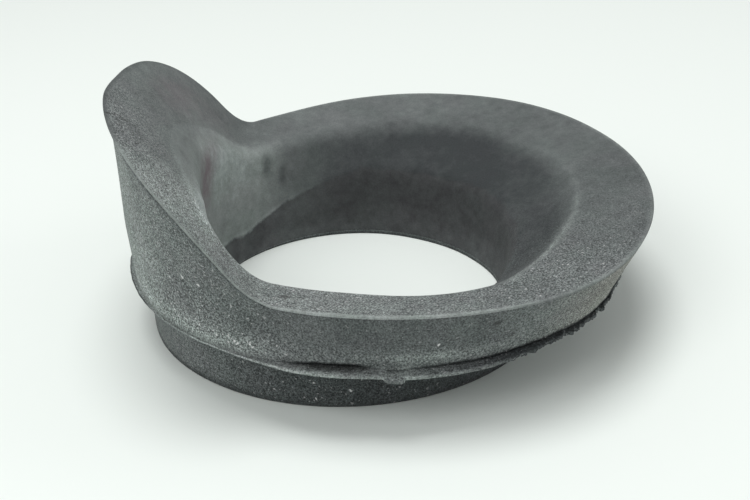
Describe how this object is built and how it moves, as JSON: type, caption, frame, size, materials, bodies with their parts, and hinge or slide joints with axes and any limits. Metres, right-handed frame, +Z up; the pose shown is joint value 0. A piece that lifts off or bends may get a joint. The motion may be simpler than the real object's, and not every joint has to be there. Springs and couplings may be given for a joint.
{
  "type": "waste outlet gasket",
  "caption": "Moulded rubber ring gasket with a round collar foot, a flared body with a dished top face, and a raised curved tongue on one side.",
  "frame": {"origin": "at the centre of the gasket's footprint, in the plane of the foot's underside. The bore axis is at x = -8.2 mm", "axes": "+Z up along the bore axis, -X towards the raised tongue, +X towards the wide side of the ledge"},
  "size_m": [0.111, 0.1108, 0.0524],
  "materials": {
    "rubber": "matte, finely grained, with a pale powdery bloom"
  },
  "bodies": {
    "root": {"gasket": "rubber"}
  },
  "joints": []
}
